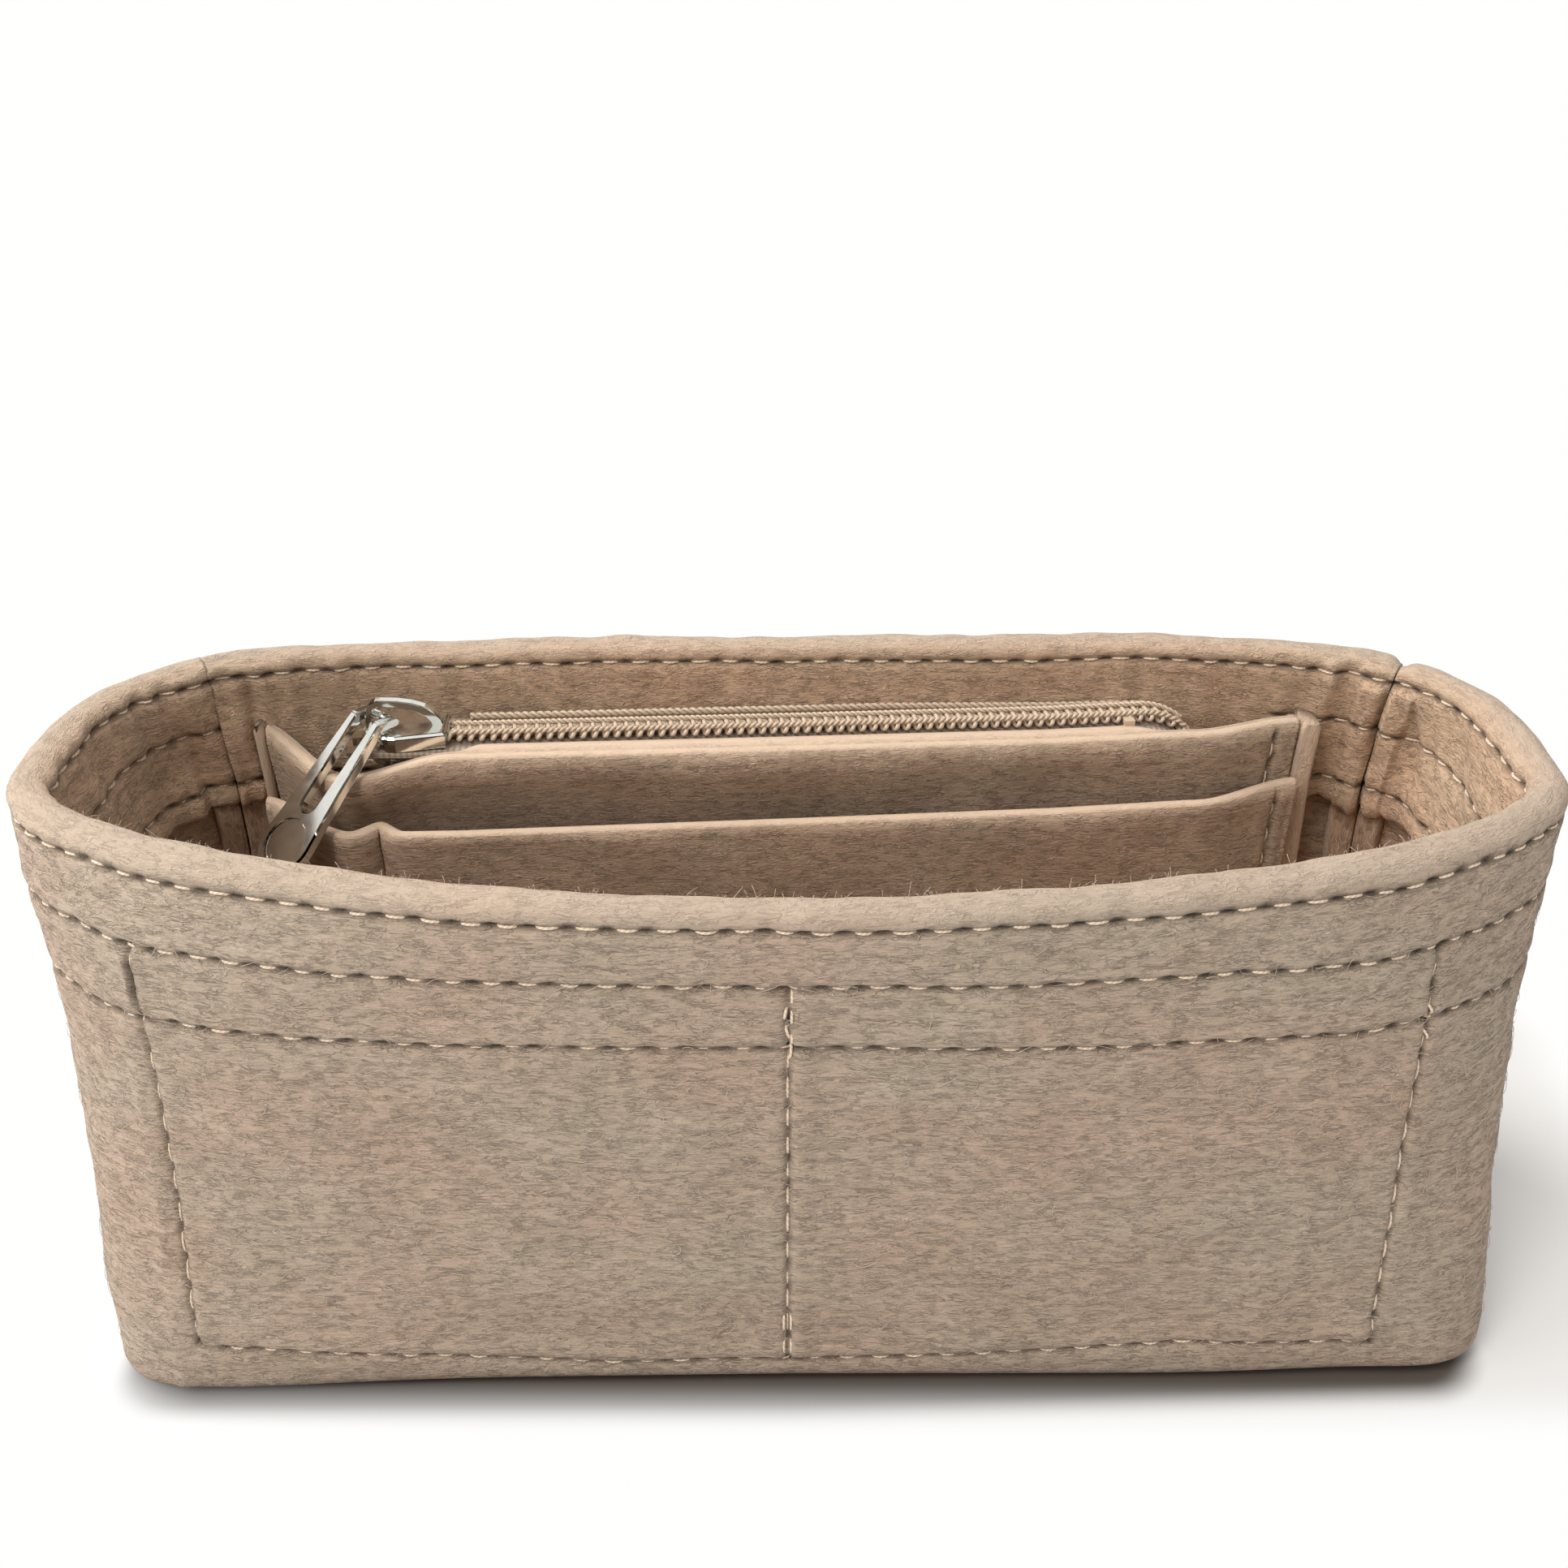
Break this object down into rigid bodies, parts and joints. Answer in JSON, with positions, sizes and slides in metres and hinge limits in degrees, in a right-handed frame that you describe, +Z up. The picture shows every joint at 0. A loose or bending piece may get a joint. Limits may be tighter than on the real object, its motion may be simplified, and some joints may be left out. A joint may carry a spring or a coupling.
{
  "type": "purse organizer insert",
  "caption": "Soft felt insert that organizes a small handbag: open oval tub with inner front pockets, a zipped back pocket with slider and pull, and a slip pocket before it.",
  "frame": {"origin": "centre of the base's underside", "axes": "+X along the length, to the right of a person facing the front wall; +Y towards the back wall with the zip; +Z up"},
  "size_m": [0.2137, 0.0828, 0.082],
  "materials": {
    "felt": "matte needled felt, beige brown",
    "felt_inner": "matte needled felt, inner panels",
    "zip_tape": "woven polyester tape",
    "zip_coil": "satin nylon coil",
    "zip_metal": "polished nickel plate"
  },
  "bodies": {
    "shell": {"base_panel": "felt", "front_wall": "felt", "back_wall": "felt", "front_pocket_panel": "felt_inner", "zip_panel": "felt_inner", "slip_pocket_panel": "felt_inner", "pocket_end_strip_left": "felt_inner", "pocket_end_strip_right": "felt_inner", "zip_tape_back": "zip_tape", "zip_tape_front": "zip_tape", "zip_coil_back": "zip_coil", "zip_coil_front": "zip_coil", "zip_top_stop_back": "zip_metal", "zip_top_stop_front": "zip_metal", "zip_bottom_stop": "zip_metal"},
    "slider": {"slider_body": "zip_metal"},
    "pull": {"zip_pull": "zip_metal"}
  },
  "joints": [
    {"name": "zip_slide", "type": "slide", "parent": "shell", "child": "slider", "axis": [0.9989, 0.0462, 0], "range_m": [0, 0.104], "deforming": ["zip_coil_back", "zip_coil_front", "zip_tape_back", "zip_tape_front", "zip_panel", "slip_pocket_panel"]},
    {"name": "pull_swing", "type": "hinge", "parent": "slider", "child": "pull", "pos_m": [-0.06248, 0.02441, 0.0763], "axis": [-0.7431, 0.6691, 0], "range_deg": [0, 110]}
  ]
}
